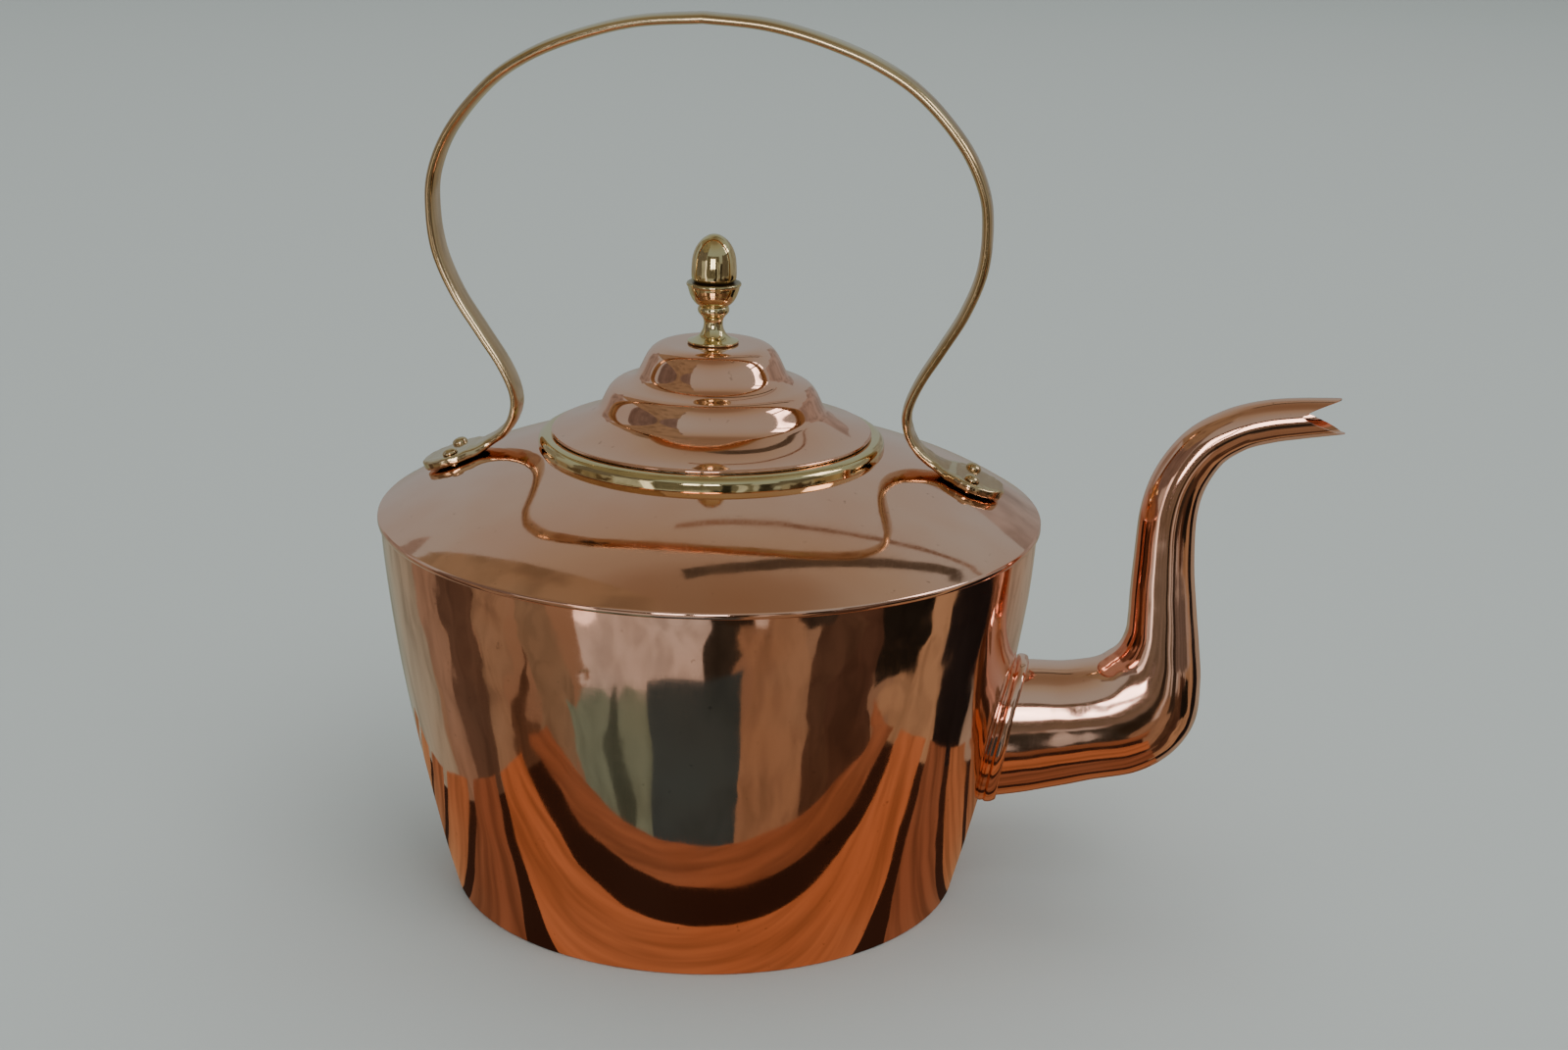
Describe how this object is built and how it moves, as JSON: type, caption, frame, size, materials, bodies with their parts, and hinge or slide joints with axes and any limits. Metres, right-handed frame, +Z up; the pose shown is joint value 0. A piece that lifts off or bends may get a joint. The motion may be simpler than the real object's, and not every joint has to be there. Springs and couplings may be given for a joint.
{
  "type": "kettle",
  "caption": "Large round copper kettle with a stepped lift-off lid and acorn knob, a swan-neck spout with a pointed mouth, and a tall brass bail handle riveted to the shoulder.",
  "frame": {"origin": "centre of the flat base, on the surface the kettle stands on", "axes": "+Z up through the lid and knob, +X from the kettle's axis towards the spout's mouth, +Y across the kettle, horizontal, to the left of someone who stands at the handle side and looks towards the spout"},
  "size_m": [0.414, 0.2884, 0.382],
  "materials": {
    "copper": null,
    "brass": "turned and polished yellow brass",
    "handle_brass": "worn bronze-gold brass, softly polished"
  },
  "bodies": {
    "kettle": {"body_wall": "copper", "base_plate": "copper", "shoulder": "copper", "lid_ring": "brass", "spout_collar": "copper", "spout": "copper", "handle": "handle_brass", "handle_rivets": "handle_brass", "rivet_roves": "copper"},
    "lid": {"lid_shell": "copper", "lid_flange": "copper", "finial_pedestal": "brass", "finial_acorn": "brass", "finial_stud": "brass", "finial_washer": "brass", "finial_nut": "brass"}
  },
  "joints": [
    {"name": "lid_lift", "type": "slide", "parent": "kettle", "child": "lid", "axis": [0, 0, 1], "range_m": [0, 0.08]}
  ]
}
